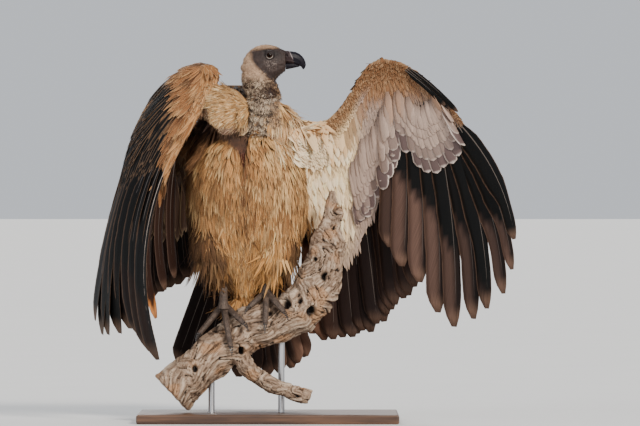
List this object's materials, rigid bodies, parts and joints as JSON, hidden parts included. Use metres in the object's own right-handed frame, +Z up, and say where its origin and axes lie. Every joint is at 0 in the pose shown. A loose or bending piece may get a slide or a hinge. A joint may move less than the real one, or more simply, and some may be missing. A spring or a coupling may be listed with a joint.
{
  "type": "white-backed vulture on a branch, still life-size model",
  "caption": "Perched vulture with one wing spread and the other half folded, gripping a cut length of dead branch held by a flat base and short rods.",
  "frame": {"origin": "underside of the stand's flat base, below the middle of the body", "axes": "+Z up; the chest faces -Y; the bird's left, spread wing is at +X, and it looks towards +X"},
  "size_m": [0.8846, 0.411, 0.8081],
  "materials": {
    "breast_feathers": "soft buff body feathers with brown streaks",
    "ruff_feathers": "long loose tan ruff feathers",
    "neck_down": "sparse woolly down over dark skin",
    "bare_face": "dark bare skin with fine hair-like down",
    "bill_horn": "dark horn with a soft gloss",
    "eye": "wet dark brown eye",
    "wing_lining": "cream and grey underwing coverts",
    "wing_coverts": "brown upperwing coverts with pale edges",
    "flight_feathers": "blackish brown flight feathers with pale shafts",
    "leg_scales": "dark scaly skin",
    "claw_horn": "dark horn",
    "weathered_wood": "grey dead wood with grain and holes",
    "stand_wood": "dark oiled wood",
    "stand_steel": "plain rod"
  },
  "bodies": {
    "root": {"trunk": "breast_feathers", "crop": "ruff_feathers", "ruff": "ruff_feathers", "neck_lower": "ruff_feathers", "neck_upper": "neck_down", "head": "bare_face", "bill_upper": "bill_horn", "bill_lower": "bill_horn", "eye_left": "eye", "eye_right": "eye", "wing_left_arm": "wing_lining", "wing_left_hand": "wing_lining", "wing_left_alula": "flight_feathers", "wing_left_primaries": "flight_feathers", "wing_left_secondaries": "flight_feathers", "wing_right_arm": "wing_coverts", "wing_right_hand": "wing_coverts", "wing_right_primaries": "flight_feathers", "wing_right_secondaries": "flight_feathers", "tail": "flight_feathers", "thigh_left": "breast_feathers", "thigh_right": "breast_feathers", "tarsus_left": "leg_scales", "tarsus_right": "leg_scales", "perch_limb": "weathered_wood", "perch_snag": "weathered_wood", "perch_prong": "weathered_wood", "perch_twig": "weathered_wood", "stand_base": "stand_wood", "stand_rod_left": "stand_steel", "stand_rod_right": "stand_steel", "toe_left_outer": "leg_scales", "claw_left_outer": "claw_horn", "toe_left_middle": "leg_scales", "claw_left_middle": "claw_horn", "toe_left_inner": "leg_scales", "claw_left_inner": "claw_horn", "toe_left_hind": "leg_scales", "claw_left_hind": "claw_horn", "toe_right_outer": "leg_scales", "claw_right_outer": "claw_horn", "toe_right_middle": "leg_scales", "claw_right_middle": "claw_horn", "toe_right_inner": "leg_scales", "claw_right_inner": "claw_horn", "toe_right_hind": "leg_scales", "claw_right_hind": "claw_horn"}
  },
  "joints": []
}
